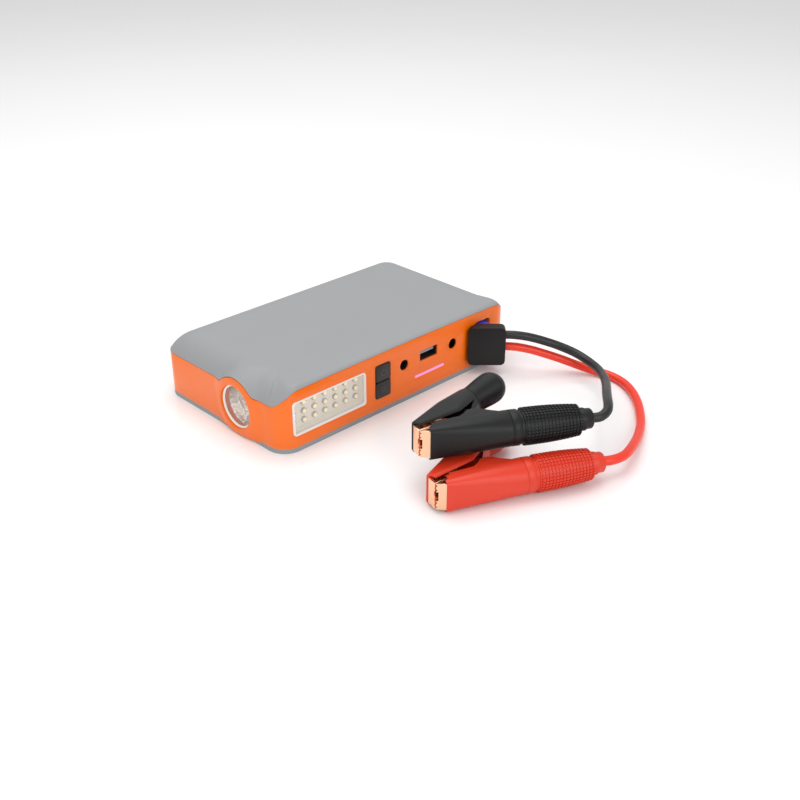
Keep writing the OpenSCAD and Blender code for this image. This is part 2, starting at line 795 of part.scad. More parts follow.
module cable_grip() {
  tail = clamp_l - 1;
  step_x = tail - collar_l;
  translate([shell_end, 0, 0]) rotate([0, 0, -arm_flare]) translate([-shell_end, 0, 0])
    rotate([90, 0, 90]) rotate_extrude() polygon([[0, shell_end + 0.1],
      [arm_r - 0.5, shell_end + 0.4], [arm_r, shell_end + 0.9], [arm_r, shell_end + 4.6],
      [arm_r - 0.4, shell_end + 5], [arm_r + 0.3, shell_end + 8], [arm_r + 0.2, shell_end + 14],
      [arm_r - 0.3, step_x - 9], [arm_r - 1.1, step_x - 3], [arm_r - 2.3, step_x - 0.6],
      [arm_r - 2.9, step_x], [collar_r, step_x], [collar_r, tail - 0.8], [collar_r - 0.8, tail],
      [cable_r + fit_gap, tail], [cable_r + fit_gap, step_x - 4], [0, step_x - 4]]);
}

module cable_jaw() {
  difference() {
    union() {
      plate(-7, 14, cable_block);
      translate([5, -4.5, -5.8]) cube([shell_end - 8, 1.1, 11.6]);
      both_sides() plate(5, sheet, [[8, -4.2], [8, -1], [20, 0], [24.2, 5.6], [28, 8.4],
        [31.4, 6.8], [34, 0], [36, -1], [36, -4.2]]);
    }
    plate(-10, 20, cable_hollow);
    tooth_cuts();
    translate([pivot[0], pivot[1], -20]) cylinder(r = pin_r + fit_gap, h = 40);
  }
}

module lever_shell() {
  difference() {
    at_lever() union() {
      hull() {
        along(0.4, 1) translate([-0.2, 0]) round_rect(5, 16.6, 1.8, $fn = 32);
        along(23.5, 1) translate([-2, 0]) round_rect(15, 15.6, 3.4, $fn = 32);
      }
      hull() {
        along(23.5, 1) translate([-2, 0]) round_rect(15, 15.6, 3.4, $fn = 32);
        along(ring_s - 1.1, 1) circle(bulb_r - 0.6, $fn = 32);
      }
    }
    at_lever() union() {
      hull() {
        along(-0.8, 1) translate([-2.3, 0]) square([6, 14.2], center = true);
        along(23, 1) translate([-4, 0]) square([16, 13.4], center = true);
      }
      hull() {
        along(23, 1) translate([-4, 0]) square([16, 13.4], center = true);
        along(ring_s, 1) square([9, 10], center = true);
      }
    }
  }
}

module lever_grip() {
  at_lever() rotate([90, 0, 90]) rotate_extrude() {
    translate([0, lever_l - bulb_r]) intersection() {
      circle(bulb_r);
      square([bulb_r, bulb_r]);
    }
    polygon([[0, ring_s + 6], [4.2, ring_s + 6], [4.2, ring_s], [bulb_r - 0.8, ring_s],
      [bulb_r - 0.8, ring_s + 1.4], [bulb_r - 1.4, ring_s + 2.2], [bulb_r - 1, ring_s + 5],
      [bulb_r - 0.3, ring_s + 13], [bulb_r, lever_l - bulb_r], [0, lever_l - bulb_r]]);
  }
}

module lever_jaw() {
  difference() {
    union() {
      plate(-6.8, 13.6, lever_block);
      at_lever() translate([5, -0.9, -4.6]) cube([ring_s - 6, 1.1, 9.2]);
      at_lever() translate([ring_s - 2, -0.9, -3.5]) cube([7, 1.1, 7]);
      both_sides() at_lever() plate(3.7, sheet, [[lever_pivot[0] - 9, -0.3],
        lever_pivot + [-4.2, 1], lever_pivot + [-3, -3], lever_pivot + [0, -4.2],
        lever_pivot + [3, -3], lever_pivot + [4.2, 1], [lever_pivot[0] + 9, -0.3]]);
    }
    plate(-10, 20, lever_hollow);
    tooth_cuts();
    translate([pivot[0], pivot[1], -20]) cylinder(r = pin_r + fit_gap, h = 40);
  }
}

module pivot_pin() {
  translate([pivot[0], pivot[1], 0]) {
    cylinder(r = pin_r, h = 2 * ear_in_z - 0.1, center = true);
  }
}

module spring() {
  wire = 0.6;
  coil = pin_r + 1.6;
  translate([pivot[0], pivot[1], 0]) {
    for (i = [-2:2]) translate([0, 0, i * 1.3]) rotate_extrude() translate([coil, 0]) circle(wire);
    translate([0, -coil, 2.6]) rotate([0, 90, 0]) cylinder(r = wire - 0.05, h = 8.5);
    translate([0, coil, -2.6]) rotate([0, 90, lever_angle]) cylinder(r = wire - 0.05, h = 8);
  }
}

module black_cable_shell() color(black) at_black() cable_shell();
module black_cable_grip() color(black) at_black() cable_grip();
module black_cable_jaw() color(copper) at_black() cable_jaw();
module black_lever_shell() color(black) at_black() lever_shell();
module black_lever_grip() color(black) at_black() lever_grip();
module black_lever_jaw() color(copper) at_black() lever_jaw();
module black_pivot_pin() color(steel) at_black() pivot_pin();
module black_spring() color(steel) at_black() spring();
module red_cable_shell() color(red) at_red() cable_shell();
module red_cable_grip() color(red) at_red() cable_grip();
module red_cable_jaw() color(copper) at_red() cable_jaw();
module red_lever_shell() color(red) at_red() lever_shell();
module red_lever_grip() color(red) at_red() lever_grip();
module red_lever_jaw() color(copper) at_red() lever_jaw();
module red_pivot_pin() color(steel) at_red() pivot_pin();
module red_spring() color(steel) at_red() spring();

top_cover();
side_frame();
bottom_cover();
torch_lens();
torch_reflector();
torch_led();
torch_board();
work_light_lens();
work_light_leds();
work_light_board();
power_button();
light_button();
button_switches();
button_board();
main_board();
usb_port();
usb_tongue();
dc_out_jack();
dc_in_jack();
jack_pins();
indicator_light();
indicator_leds();
output_socket();
output_socket_contacts();
battery_cells();
battery_tray();
cell_busbars();
battery_leads();
board_screws();
case_screws();
plug_housing();
plug_cover();
plug_connector();
plug_contacts();
black_cable();
red_cable();
black_cable_shell();
black_cable_grip();
black_cable_jaw();
black_lever_shell();
black_lever_grip();
black_lever_jaw();
black_pivot_pin();
black_spring();
red_cable_shell();
red_cable_grip();
red_cable_jaw();
red_lever_shell();
red_lever_grip();
red_lever_jaw();
red_pivot_pin();
red_spring();
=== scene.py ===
import json
import math

import bmesh
import bpy
from mathutils import Matrix, Vector

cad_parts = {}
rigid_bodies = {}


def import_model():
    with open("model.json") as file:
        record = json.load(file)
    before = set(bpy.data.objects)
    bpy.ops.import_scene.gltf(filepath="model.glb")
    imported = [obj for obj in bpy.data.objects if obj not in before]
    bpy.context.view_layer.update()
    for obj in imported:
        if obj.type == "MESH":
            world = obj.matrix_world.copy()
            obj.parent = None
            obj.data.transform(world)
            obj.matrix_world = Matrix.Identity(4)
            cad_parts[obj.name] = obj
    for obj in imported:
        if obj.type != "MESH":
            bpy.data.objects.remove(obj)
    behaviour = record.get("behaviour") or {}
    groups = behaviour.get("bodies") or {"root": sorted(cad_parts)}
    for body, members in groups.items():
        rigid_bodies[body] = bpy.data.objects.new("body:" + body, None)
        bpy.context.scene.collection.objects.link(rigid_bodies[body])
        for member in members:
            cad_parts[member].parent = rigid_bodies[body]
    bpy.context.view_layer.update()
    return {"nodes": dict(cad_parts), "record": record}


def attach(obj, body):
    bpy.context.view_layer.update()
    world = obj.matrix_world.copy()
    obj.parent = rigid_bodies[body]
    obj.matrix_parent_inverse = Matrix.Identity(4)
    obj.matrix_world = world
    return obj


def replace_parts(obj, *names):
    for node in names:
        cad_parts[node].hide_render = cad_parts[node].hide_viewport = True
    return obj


bl_info = {
    "name": "Jump Starter Pack",
    "version": (1, 0, 0),
    "blender": (4, 5, 0),
    "location": "View3D > Sidebar > Jump Starter",
    "description": "Finishes a jump starter pack with its plug-in lead set",
    "category": "Add Mesh",
}

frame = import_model()
MM = 0.001
MERGE_NEW = 1e-7
MERGE_CAD = 2e-6

# Sizes shared with the part's source, in millimetres
HALF_L = 85.0
HALF_W = 51.0
BODY_H = 36.5
CORNER_R = 11.0
WALL = 2.2
SEAM_LOW = 26.0
SEAM_PORT = 35.0
SEAM_SAG = 1.0
SEAM_FROM = 12.0
SEAM_TURN = 80.0
PORT_ZONE = 9.6
TORCH = (-16.0, 16.2)
TORCH_BORE = 12.0
SWELL = 2.0
SWELL_REACH = 22.0
BULGE_R = 16.0
BULGE_BLEND = 1.6
ROLL_R = 18.5
LIGHT_AT = (-52.8, 18.7)
LIGHT_SIZE = (49.0, 19.4)
KEY_AT = (-16.1, 18.7)
KEY_RISE = 4.975
RAY_REACH = 2.45
COVER_FLAT = 17.0
END_REACH = 8.0
BULGE_HALF = 24.0
RIM_BACK = -49.5
PANE_BACK = -49.4
TUB_FRONT = -49.3
TUB_BACK = -46.0
LED_Y = -46.4
LED_MARGIN = (7.0, 9.4)
BARREL_START = 50.6
BARREL_RISE = 0.35
BARREL_TAPER = 1.4
BARREL_POWER = 2.4
CLAMPS = {
    "black": ((-56.9, -119.1, 27.5), -28.0),
    "red": ((-63.0, -135.4, 9.2), -23.9),
}
LEVER_START = (-1.5, 4.0)
LEVER_ANGLE = 35.5
SHELL_END = 43.0
RING_S = 42.0
LEVER_L = 70.0
BULB_R = 8.1
ARM_R = 8.8
ARM_FLARE = 3.0
CLAMP_TAIL = 85.0
COLLAR_L = 6.5

# Routes of the two cables, from inside the plug to inside the clamp's collar, in metres
BLACK_ROUTE = [(.0625, -.0622, .0232), (.0658, -.0654, .0232), (.07, -.0695, .0229),
               (.0755, -.0745, .0216), (.082, -.0805, .019), (.088, -.0875, .016),
               (.0915, -.096, .0135), (.091, -.1055, .012), (.0865, -.115, .0125),
               (.08, -.1225, .0143), (.072, -.13, .017), (.063, -.1372, .0198),
               (.0545, -.1433, .0226), (.046, -.1494, .0252), (.0385, -.155, .0272),
               (.032, -.16, .0286), (.0265, -.1633, .0286), (.0213, -.1635, .0277),
               (.017, -.1609, .0275), (.0093, -.1563, .0275)]
RED_ROUTE = [(.0625, -.0622, .016), (.0658, -.0654, .016), (.0705, -.07, .0155),
             (.0765, -.0755, .0137), (.083, -.0815, .0108), (.0895, -.0885, .0076),
             (.095, -.0965, .0046), (.099, -.1055, .0029), (.101, -.115, .0025),
             (.099, -.125, .0025), (.0935, -.1345, .0025), (.086, -.143, .0025),
             (.0775, -.1505, .0025), (.068, -.1575, .0028), (.0585, -.163, .0038),
             (.049, -.1677, .0053), (.0405, -.1713, .0068), (.033, -.174, .008),
             (.026, -.1756, .0088), (.0195, -.1748, .0092), (.0137, -.1718, .0092),
             (.0057, -.1677, .0092)]


# ------------------------------------------------------------------ shading

class Wire:
    """One value in a shader, so that finishes can be written as sums."""

    def __init__(self, finish, socket):
        self.finish = finish
        self.socket = socket

    def __add__(self, other):
        return self.finish.math("ADD", self, other)

    def __sub__(self, other):
        return self.finish.math("SUBTRACT", self, other)

    def __mul__(self, other):
        return self.finish.math("MULTIPLY", self, other)

    def __truediv__(self, other):
        return self.finish.math("DIVIDE", self, other)

    def __pow__(self, other):
        return self.finish.math("POWER", self, other)

    def __rsub__(self, other):
        return self.finish.math("SUBTRACT", other, self)

    def __rtruediv__(self, other):
        return self.finish.math("DIVIDE", other, self)

    __radd__ = __add__
    __rmul__ = __mul__


class Finish:
    """A material, its surface shader and short ways to reach its nodes."""

    def __init__(self, name):
        self.material = bpy.data.materials.new(name)
        self.material.use_nodes = True
        self.tree = self.material.node_tree
        self.tree.nodes.clear()
        self.surface = self.tree.nodes.new("ShaderNodeBsdfPrincipled")
        out = self.tree.nodes.new("ShaderNodeOutputMaterial")
        self.tree.links.new(self.surface.outputs[0], out.inputs[0])
        self.place = self.node("ShaderNodeTexCoord", out="Object")

    def feed(self, socket, value):
        if isinstance(value, Wire):
            self.tree.links.new(value.socket, socket)
        else:
            socket.default_value = value

    def node(self, kind, settings=None, values=None, out=0, stops=None):
        made = self.tree.nodes.new(kind)
        for key, value in (settings or {}).items():
            setattr(made, key, value)
        if stops:
            ramp = made.color_ramp
            for position, colour in stops[2:]:
                ramp.elements.new(position)
            for element, (position, colour) in zip(ramp.elements, sorted(stops)):
                element.position = position
                element.color = colour
        for key, value in (values or {}).items():
            self.feed(made.inputs[key], value)
        return Wire(self, made.outputs[out])

    def math(self, operation, a, b=0.0):
        return self.node("ShaderNodeMath", {"operation": operation}, {0: a, 1: b})

    def noise(self, scale, detail=2.0, rough=0.5):
        return self.node("ShaderNodeTexNoise", {"noise_dimensions": "3D"},
                         {"Vector": self.place, "Scale": scale, "Detail": detail,
                          "Roughness": rough})

    def mix(self, factor, a, b):
        return self.node("ShaderNodeMix", {"data_type": "RGBA"},
                         {0: factor, 6: a, 7: b}, out=2)

    def bump(self, height, depth, strength=1.0):
        normal = self.node("ShaderNodeBump", None,
                           {"Height": height, "Distance": depth, "Strength": strength})
        self.feed(self.surface.inputs["Normal"], normal)

    def set(self, **values):
        for key, value in values.items():
            self.feed(self.surface.inputs[key.replace("_", " ")], value)
        return self


def rgba(colour, factor=1.0):
    return tuple(min(1.0, c * factor) for c in colour[:3]) + (1.0,)


def mottled(name, colour, rough, spread=0.05, scale=45.0, grain=2600.0, depth=0.00004,
            metallic=0.0, rough_spread=0.1, specular=0.5):
    """A moulded or metal surface: faint blotches, varied gloss and a fine grain."""
    f = Finish(name)
    blotch = f.noise(scale, 3.0)
    fine = f.noise(grain, 2.0)
    wear = f.noise(scale * 6.0, 4.0)
    f.set(Base_Color=f.mix(blotch, rgba(colour, 1.0 - spread), rgba(colour, 1.0 + spread)),
          Roughness=rough + (wear - 0.5) * rough_spread + (fine - 0.5) * rough_spread * 0.5,
          Metallic=metallic, Specular_IOR_Level=specular)
    f.bump(fine + wear * 0.5, depth)
    return f


def clear(name, colour, body=0.05):
    """Clear plastic: see-through, with the reflections of a smooth face."""
    f = Finish(name)
    smear = f.noise(90.0, 3.0)
    f.set(Base_Color=f.mix(smear, rgba(colour, 0.97), rgba(colour)),
          Roughness=0.03 + smear * 0.04, Specular_IOR_Level=0.6)
    through = f.node("ShaderNodeBsdfTransparent", None, {0: rgba(colour)})
    edge = f.node("ShaderNodeLayerWeight", None, {"Blend": 0.5}, out="Facing")
    blend = f.node("ShaderNodeMixShader", None,
                   {0: edge ** 3.0 * 0.5 + body, 1: through, 2: Wire(f, f.surface.outputs[0])})
    out = next(n for n in f.tree.nodes if n.bl_idname == "ShaderNodeOutputMaterial")
    f.tree.links.new(blend.socket, out.inputs[0])
    return f


def lit(name, colour, strength, rough=0.35):
    """A surface that glows faintly by itself: a lit indicator, or painted light on a part that is
    no lit lamp.
    """
    f = Finish(name)
    glow = f.noise(400.0, 2.0)
    f.set(Base_Color=rgba(colour), Roughness=rough + (glow - 0.5) * 0.1,
          Emission_Color=f.mix(glow, rgba(colour, 0.94), rgba(colour)),
          Emission_Strength=strength)
    return f


def brushed(name, colour, rough, stretch=(40.0, 2000.0, 2000.0)):
    """Metal with streaks that run along one axis."""
    f = Finish(name)
    long_way = f.node("ShaderNodeMapping", None, {"Vector": f.place, "Scale": stretch})
    streak = f.node("ShaderNodeTexNoise", {"noise_dimensions": "3D"},
                    {"Vector": long_way, "Scale": 1.0, "Detail": 3.0})
    f.set(Base_Color=f.mix(streak, rgba(colour, 0.93), rgba(colour, 1.05)), Metallic=1.0,
          Roughness=rough + (streak - 0.5) * 0.12)
    f.bump(streak, 0.00002)
    return f


def board_finish(name, base, line):
    """A circuit board: solder mask with faint copper runs under it."""
    f = Finish(name)
    cells = f.node("ShaderNodeTexBrick", {"offset": 0.37, "squash": 0.7},
                   {"Vector": f.place, "Scale": 420.0, "Mortar Size": 0.06,
                    "Color1": rgba(base), "Color2": rgba(base, 1.15),
                    "Mortar": rgba(line)}, out=0)
    fine = f.noise(1500.0, 2.0)
    f.set(Base_Color=cells, Roughness=0.38 + (fine - 0.5) * 0.15)
    f.bump(fine, 0.00002)
    return f


def foil_finish(name, colour):
    """Creased metal foil."""
    f = Finish(name)
    crease = f.node("ShaderNodeTexVoronoi", {"feature": "DISTANCE_TO_EDGE"},
                    {"Vector": f.place, "Scale": 160.0}, out=0)
    fine = f.noise(700.0, 3.0)
    f.set(Base_Color=f.mix(fine, rgba(colour, 0.92), rgba(colour)), Metallic=0.85,
          Roughness=0.32 + (fine - 0.5) * 0.2)
    f.bump(crease + fine * 0.3, 0.0002)
    return f


FINISHES = {}


def make_finishes():
    look = bpy.context.scene.pack_look
    leads = bpy.context.scene.lead_look
    F = FINISHES
    F["cover_grey"] = mottled("soft touch grey", look.cover_colour, 0.52, 0.025, 30.0,
                              3800.0, 0.00003, rough_spread=0.06, specular=0.4)
    F["band_orange"] = mottled("orange gloss", look.band_colour, 0.3, 0.03, 25.0, 2200.0,
                               0.00001, rough_spread=0.06)
    F["clear_window"] = clear("clear window", (0.97, 0.965, 0.95))
    F["reflector"] = mottled("reflector", (0.93, 0.92, 0.9), 0.1, 0.04, 200.0, 900.0,
                             0.00008, metallic=1.0)
    # painted light: the LEDs are switched off, yet their phosphor glows faintly
    F["led"] = lit("led phosphor painted glow", (1.0, 0.93, 0.68), 0.15)
    F["led_body"] = mottled("led body", (0.5, 0.47, 0.42), 0.4, 0.03)
    F["rim_pale"] = mottled("pale rim", (0.86, 0.84, 0.8), 0.16, 0.02, specular=0.6)
    F["port_dark"] = mottled("port shell", (0.035, 0.034, 0.036), 0.3, 0.1, 90.0,
                             metallic=0.6)
    F["board"] = board_finish("board green", (0.03, 0.16, 0.07), (0.09, 0.3, 0.14))
    # painted light: the board behind the window glows so that it looks brighter, though it is no
    # lamp
    F["board_pale"] = lit("board white painted glow", (0.7, 0.66, 0.61), 0.25, 0.5)
    F["key_black"] = mottled("key rubber", (0.012, 0.012, 0.012), 0.42, 0.15, 80.0)
    F["key_mark"] = mottled("key mark", (0.06, 0.06, 0.06), 0.3, 0.1)
    F["steel"] = brushed("plated steel", (0.72, 0.73, 0.75), 0.28)
    F["tongue_grey"] = mottled("tongue grey", (0.3, 0.31, 0.34), 0.4)
    F["black_plastic"] = mottled("black plastic", (0.006, 0.006, 0.0065), 0.45, 0.12, 70.0,
                                 1800.0, 0.00005, specular=0.3)
    F["indicator_pink"] = lit("lit strip", (0.95, 0.33, 0.66), 0.3)
    F["connector_blue"] = mottled("connector blue", (0.045, 0.07, 0.62), 0.38, 0.08)
    F["gold"] = brushed("gold plate", (0.9, 0.66, 0.25), 0.25)
    F["foil"] = foil_finish("cell foil", (0.75, 0.77, 0.8))
    F["copper_bar"] = brushed("busbar copper", (0.85, 0.46, 0.28), 0.35)
    F["lead_red"] = mottled("lead red", (0.6, 0.03, 0.02), 0.5)
    F["cable_black"] = mottled("cable black", (0.008, 0.0085, 0.009), 0.42, 0.12, 60.0,
                               1400.0, 0.00003)
    F["cable_red"] = mottled("cable red", leads.red_cable_colour, 0.34, 0.05, 60.0,
                             1400.0, 0.00002)
    F["clamp_black"] = mottled("clamp black", leads.black_clamp_colour, 0.42, 0.12, 90.0,
                               2400.0, 0.00005, rough_spread=0.12, specular=0.3)
    F["clamp_red"] = mottled("clamp red", leads.red_clamp_colour, 0.42, 0.04, 90.0,
                             2400.0, 0.00005, rough_spread=0.12)
    F["jaw_copper"] = brushed("rose copper", leads.jaw_colour, 0.2, (900.0, 900.0, 60.0))


# ------------------------------------------------------------------ shapes

def new_piece(name, mesh, finish, body, angle=0.6):
    """Puts a mesh in the scene as a piece that rides on a body."""
    mesh.materials.clear()
    mesh.materials.append(FINISHES[finish].material)
    mesh.polygons.foreach_set("use_smooth", [True] * len(mesh.polygons))
    mesh.set_sharp_from_angle(angle=angle)
    piece = bpy.data.objects.new(name, mesh)
    bpy.context.scene.collection.objects.link(piece)
    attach(piece, body)
    return piece


def solid_mesh(name, points, faces):
    """A mesh from points in millimetres, with its normals turned outwards."""
    mesh = bpy.data.meshes.new(name)
    mesh.from_pydata([tuple(c * MM for c in p) for p in points], [], faces)
    bm = bmesh.new()
    bm.from_mesh(mesh)
    bmesh.ops.remove_doubles(bm, verts=bm.verts, dist=MERGE_NEW)
    bmesh.ops.recalc_face_normals(bm, faces=bm.faces)
    bm.to_mesh(mesh)
    bm.free()
    return mesh


def loft(rings, caps=True):
    """Quads between rings of points of the same count."""
    count = len(rings[0])
    points = [p for ring in rings for p in ring]
    faces = []
    for i in range(len(rings) - 1):
        for k in range(count):
            n = (k + 1) % count
            faces.append((i * count + k, i * count + n, (i + 1) * count + n,
                          (i + 1) * count + k))
    if caps:
        faces.append(tuple(range(count - 1, -1, -1)))
        end = (len(rings) - 1) * count
        faces.append(tuple(range(end, end + count)))
    return points, faces


def ring_loft(rings):
    """A closed skin: the last ring joins the first again, as on a tube of walls."""
    points, faces = loft(rings, caps=False)
    count = len(rings[0])
    end = (len(rings) - 1) * count
    for k in range(count):
        n = (k + 1) % count
        faces.append((end + k, end + n, n, k))
    return points, faces


def turned(profile, steps=96):
    """Spins (along, radius) pairs about X; a profile that starts and ends at 0 is closed."""
    rings = []
    for x, r in profile:
        rings.append([(x, r * math.cos(2 * math.pi * k / steps),
                       r * math.sin(2 * math.pi * k / steps)) for k in range(steps)])
    return rings


def evaluated_mesh(piece, name):
    """The piece's mesh with its modifiers worked in."""
    graph = bpy.context.evaluated_depsgraph_get()
    mesh = bpy.data.meshes.new_from_object(piece.evaluated_get(graph))
    mesh.name = name
    return mesh


def softened(node, finish, body, width, segments=2, angle=0.6):
    """Copies a CAD node with its edges rounded, and stands in for it."""
    source = frame["nodes"][node]
    bm = bmesh.new()
    bm.from_mesh(source.data)
    bmesh.ops.remove_doubles(bm, verts=bm.verts, dist=MERGE_CAD)
    bmesh.ops.dissolve_limit(bm, angle_limit=0.01, verts=bm.verts, edges=bm.edges)
    mesh = bpy.data.meshes.new(node + "_soft")
    bm.to_mesh(mesh)
    bm.free()
    holder = bpy.data.objects.new(node + "_soft", mesh)
    bpy.context.scene.collection.objects.link(holder)
    bevel = holder.modifiers.new("soft", "BEVEL")
    bevel.width = width * MM
    bevel.segments = segments
    bevel.limit_method = "ANGLE"
    bevel.angle_limit = angle
    bevel.use_clamp_overlap = True
    done = evaluated_mesh(holder, node + "_soft")
    bpy.data.objects.remove(holder)
    piece = new_piece(node + "_soft", done, finish, body, 0.5)
    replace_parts(piece, node)
    return piece


def smooth(t):
    t = min(1.0, max(0.0, t))
    return t * t * (3.0 - 2.0 * t)


def lerp(a, b, t):
    return a + (b - a) * t


def clamp_matrix(side, part="arm"):
    """From a clamp's own frame, its sleeve's or its lever's, to the world, in metres."""
    at, turn = CLAMPS[side]
    matrix = Matrix.Translation(Vector(at) * MM) @ Matrix.Rotation(math.radians(turn), 4, "Z")
    if part == "lever":
        shift = Matrix.Translation(Vector((*LEVER_START, 0.0)) * MM)
        matrix = matrix @ shift @ Matrix.Rotation(math.radians(LEVER_ANGLE), 4, "Z")
    if part == "sleeve":
        shift = Matrix.Translation(Vector((SHELL_END, 0.0, 0.0)) * MM)
        bend = Matrix.Rotation(math.radians(-ARM_FLARE), 4, "Z")
        matrix = matrix @ shift @ bend @ shift.inverted()
    return matrix


# ------------------------------------------------------------------ the cover

def corner_angle(x):
    """Angle round a port-side corner, 0 on the pack's end and 90 where the side is flat."""
    past = (abs(x) - HALF_L + CORNER_R) / CORNER_R
    return math.degrees(math.acos(min(1.0, max(0.0, past))))


def port_seam(x):
    """Height of the seam along the port side."""
    middle = SEAM_PORT - SEAM_SAG * (x / HALF_L) ** 2 - SEAM_LOW
    return SEAM_LOW + middle * smooth((corner_angle(x) - SEAM_FROM) / SEAM_TURN)


def bulge_edge(y, level):
    """Height of the seam over the torch, blended into the level seam."""
    arch = math.sqrt(max(0.0, BULGE_R ** 2 - (y - TORCH[0]) ** 2))
    return (level + arch + math.sqrt((level - arch) ** 2 + BULGE_BLEND ** 2)) / 2


def seam_height(x, y):
    """Height of the seam between cover and band at a point of the plan."""
    if y < -HALF_W + PORT_ZONE:
        return port_seam(x)
    if x < -HALF_L + 1.0 and abs(y - TORCH[0]) < BULGE_HALF:
        return TORCH[1] + bulge_edge(y, SEAM_LOW - TORCH[1])
    return SEAM_LOW


def swell_at(y, z):
    """How far the end stands out around the torch."""
    away = math.hypot(y - TORCH[0], z - TORCH[1])
    reach = smooth((away - TORCH_BORE - 0.5) / (SWELL_REACH - TORCH_BORE - 0.5))
    return SWELL * (1.0 - reach)


def outline(inset, arc_steps=20, pitch=0.8):
    """Points around the pack's plan, moved inwards by inset, always the same count."""
    radius = CORNER_R - 0.55 * inset
    half = (HALF_L - inset, HALF_W - inset)
    points = []
    for quarter, (sx, sy) in enumerate(((1, -1), (1, 1), (-1, 1), (-1, -1))):
        centre = (sx * (half[0] - radius), sy * (half[1] - radius))
        start = (quarter - 1) * math.pi / 2
        for k in range(arc_steps + 1):
            a = start + k * math.pi / 2 / arc_steps
            points.append((centre[0] + radius * math.cos(a), centre[1] + radius * math.sin(a)))
        along = 2 * (HALF_W if sx == sy * -1 else HALF_L) - 2 * CORNER_R
        count = int(along / pitch)
        nxt = ((1, 1), (-1, 1), (-1, -1), (1, -1))[quarter]
        goal_c = (nxt[0] * (half[0] - radius), nxt[1] * (half[1] - radius))
        a = start + math.pi / 2
        goal = (goal_c[0] + radius * math.cos(a), goal_c[1] + radius * math.sin(a))
        here = points[-1]
        for k in range(1, count):
            points.append((lerp(here[0], goal[0], k / count), lerp(here[1], goal[1], k / count)))
    return points


def roll(edge, k, steps):
    """Inset and height of step k up the cover's rolled edge at an outline point."""
    seam = seam_height(*edge)
    drop = BODY_H - seam
    port = edge[1] < -HALF_W + PORT_ZONE
    radius = min(ROLL_R, 1.2 + 1.4 * drop) if port else ROLL_R
    low = math.asin((radius - drop) / radius)
    angle = lerp(low, math.pi / 2, k / steps)
    foot = radius * math.cos(low)
    return foot - radius * math.cos(angle), BODY_H - radius * (1 - math.sin(angle))


def cover_mesh():
    """The cover as one closed skin: outside, rolled edge and inside wall."""
    steps = 14
    edge = outline(0.0)
    rolled = [[roll(p, k, steps) for p in edge] for k in range(steps + 1)]
    cache = {}

    def at(index, inset):
        key = round(inset, 3)
        if key not in cache:
            cache[key] = outline(key)
        return cache[key][index]

    def level(insets_heights):
        ring = []
        for i, (d, z) in enumerate(insets_heights):
            x, y = at(i, d)
            if x < -HALF_L + END_REACH and abs(y) < HALF_W - CORNER_R:
                x -= swell_at(y, z) * smooth(1.0 - (x + HALF_L) / END_REACH)
            ring.append((x, y, z))
        return ring

    rings = [level([(1.8, r[1]) for r in rolled[0]]),
             level([(0.3, r[1]) for r in rolled[0]]),
             level([(0.0, r[1] + 0.3) for r in rolled[0]])]
    for k in range(1, steps + 1):
        rings.append(level([(round(r[0], 2), max(r[1], r0[1] + 0.3))
                            for r, r0 in zip(rolled[k], rolled[0])]))
    rings.append(level([(COVER_FLAT, BODY_H)] * len(edge)))
    inner = []
    for k in range(steps, -1, -2):
        inner.append(level([
            (round(lerp(2.0, COVER_FLAT, r[0] / COVER_FLAT), 2),
             lerp(r0[1], BODY_H - WALL, (r[1] - r0[1]) / (BODY_H - r0[1])))
            for r, r0 in zip(rolled[k], rolled[0])]))
    top_ring = rings[-1]
    inner_top = [(x, y, BODY_H - WALL) for x, y, z in top_ring]
    points, faces = loft([inner_top] + inner + rings, caps=False)
    count = len(edge)
    faces.append(tuple(range(count - 1, -1, -1)))
    end = (len(inner) + len(rings)) * count
    faces.append(tuple(range(end, end + count)))
    return solid_mesh("cover_skin", points, faces)


# ------------------------------------------------------------------ torch and window

def about_torch(rings):
    """Moves rings spun about X onto the torch's axis."""
    return [[(x, y + TORCH[0], z + TORCH[1]) for x, y, z in ring] for ring in rings]


def mound_mesh():
    """The band's swell around the torch, fading into the end and under the cover."""
    steps = 120
    profile = [(-84.7, TORCH_BORE - 0.05), (-86.6, TORCH_BORE - 0.05),
               (-86.95, TORCH_BORE + 0.1), (None, TORCH_BORE + 0.5)]
    profile += [(None, TORCH_BORE + 0.5 + 9.4 * k / 16) for k in range(1, 17)]
    profile += [(-84.3, SWELL_REACH - 0.2), (-84.3, TORCH_BORE + 1.0)]
    rings = []
    for x0, r in profile:
        ring = []
        for k in range(steps):
            a = 2 * math.pi * k / steps
            y, z = TORCH[0] + r * math.cos(a), TORCH[1] + r * math.sin(a)
            z = min(max(z, 1.0), seam_height(-HALF_L, y) - 0.15)
            x = x0
            if x is None:
                x = -HALF_L - swell_at(y, z) - 0.14 * smooth((20.5 - r) / 4.0)
            ring.append((x, y, z))
        rings.append(ring)
    points, faces = ring_loft(rings)
    return solid_mesh("torch_swell", points, faces)


def cup_mesh(facets):
    """The reflector: rings of flat facets on a bowl, with a thin wall behind."""
    front, back = -82.2, -70.4
    rings = []
    for k in range(10):
        t = k / 9
        shift = 0.5 * (k % 2)
        r = lerp(11.7, 3.3, t ** 1.9) if t < 1 else 3.3
        x = lerp(front, back, math.sin(t * math.pi / 2) ** 1.15)
        rings.append([(x, r * math.cos(2 * math.pi * (n + shift) / facets),
                       r * math.sin(2 * math.pi * (n + shift) / facets))
                      for n in range(facets)])
    skin = [[(x + 0.5, y * (1 + 0.5 / max(3.0, math.hypot(y, z))),
              z * (1 + 0.5 / max(3.0, math.hypot(y, z)))) for x, y, z in ring]
            for ring in rings[::-1]]
    skin[-1] = [(x - 0.5, y, z) for x, y, z in skin[-1]]
    points, faces = ring_loft(about_torch(rings + skin))
    return solid_mesh("reflector_cup", points, faces)


